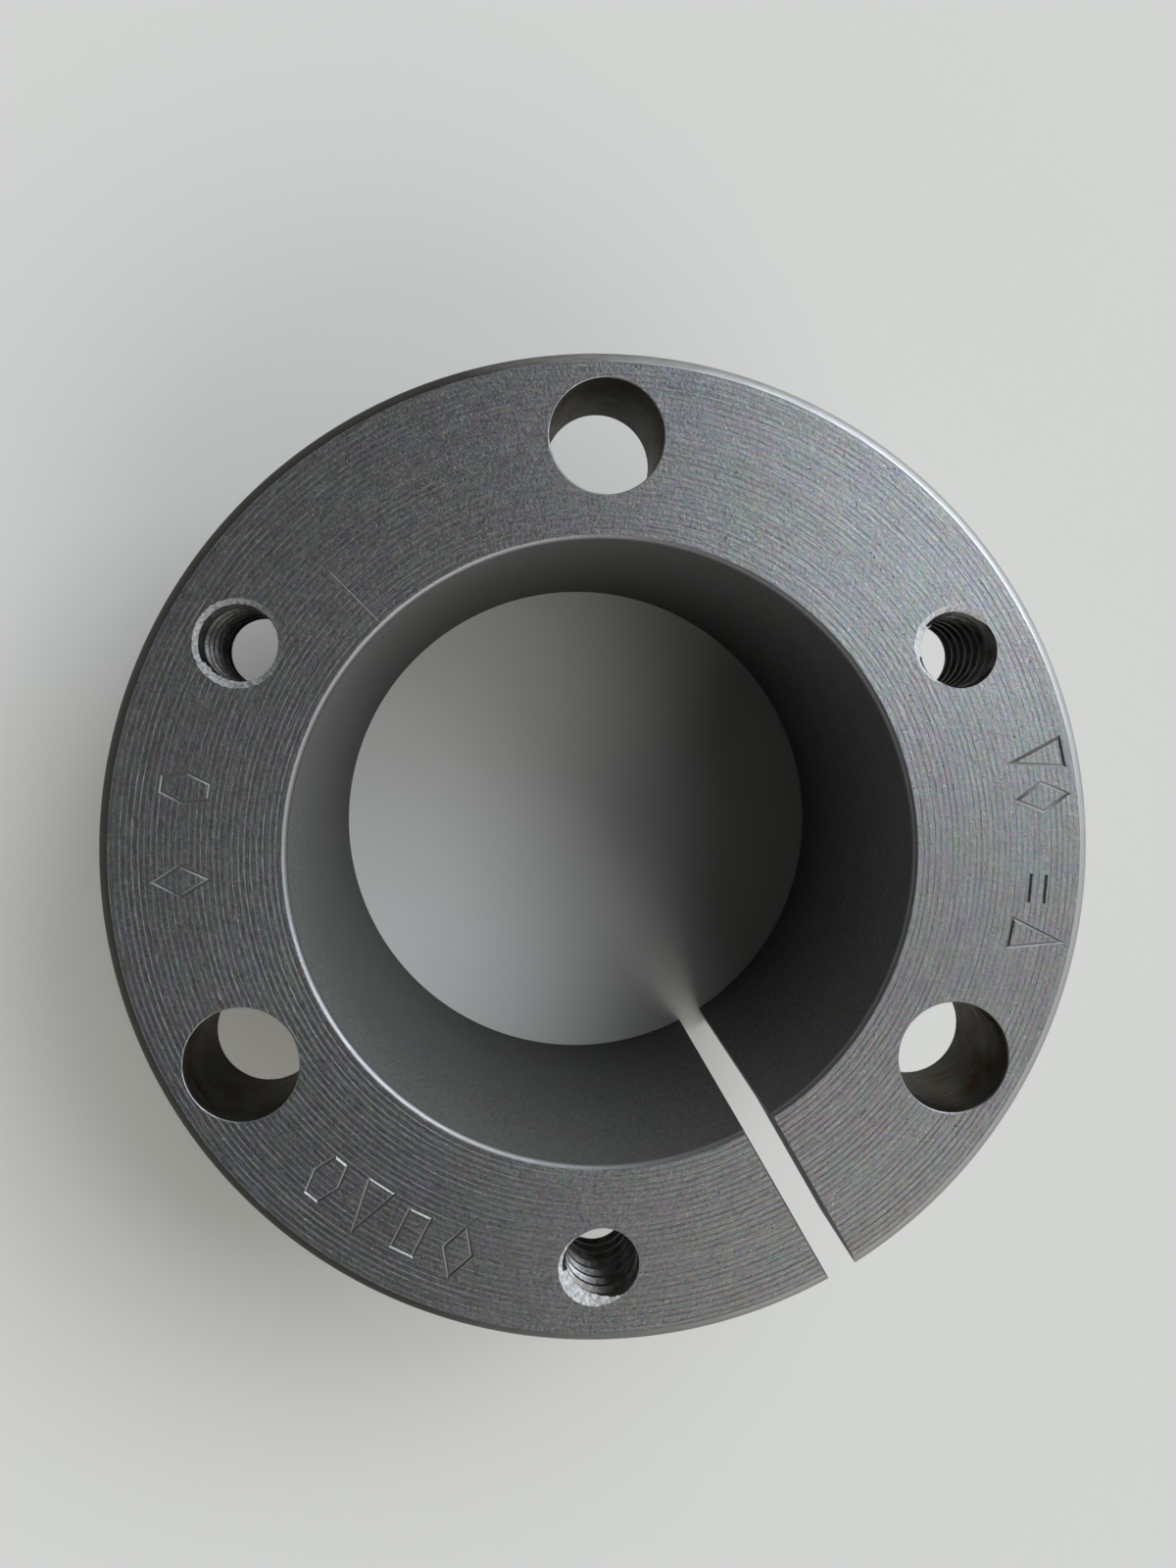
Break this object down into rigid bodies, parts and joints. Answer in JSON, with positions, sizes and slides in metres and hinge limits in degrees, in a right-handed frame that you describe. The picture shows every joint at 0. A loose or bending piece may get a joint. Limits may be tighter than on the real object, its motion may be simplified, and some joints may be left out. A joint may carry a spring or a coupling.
{
  "type": "split taper bushing",
  "caption": "Flanged split taper bushing for a keyless round shaft, with clearance and jacking holes in the flange and a saw slit through the wall that springs closed.",
  "frame": {"origin": "centre of the bore at the small end of the tapered barrel, on which the bushing stands", "axes": "+Z along the bore, out of the flange's face; +Y through the middle of one clearance hole; the slit runs out at 300 degrees from +X"},
  "size_m": [0.0504, 0.0504, 0.0254],
  "materials": {
    "turned_steel": "turned, lightly oiled, satin"
  },
  "bodies": {
    "root": {"first_half": "turned_steel"},
    "sprung": {"sprung_half": "turned_steel"}
  },
  "joints": [
    {"name": "slit_flex", "type": "hinge", "parent": "root", "child": "sprung", "pos_m": [-0.01027, 0.01779, 0.0127], "axis": [0, 0, -1], "range_deg": [-0.4, 1.1], "stiffness_Nm_per_rad": 1}
  ]
}
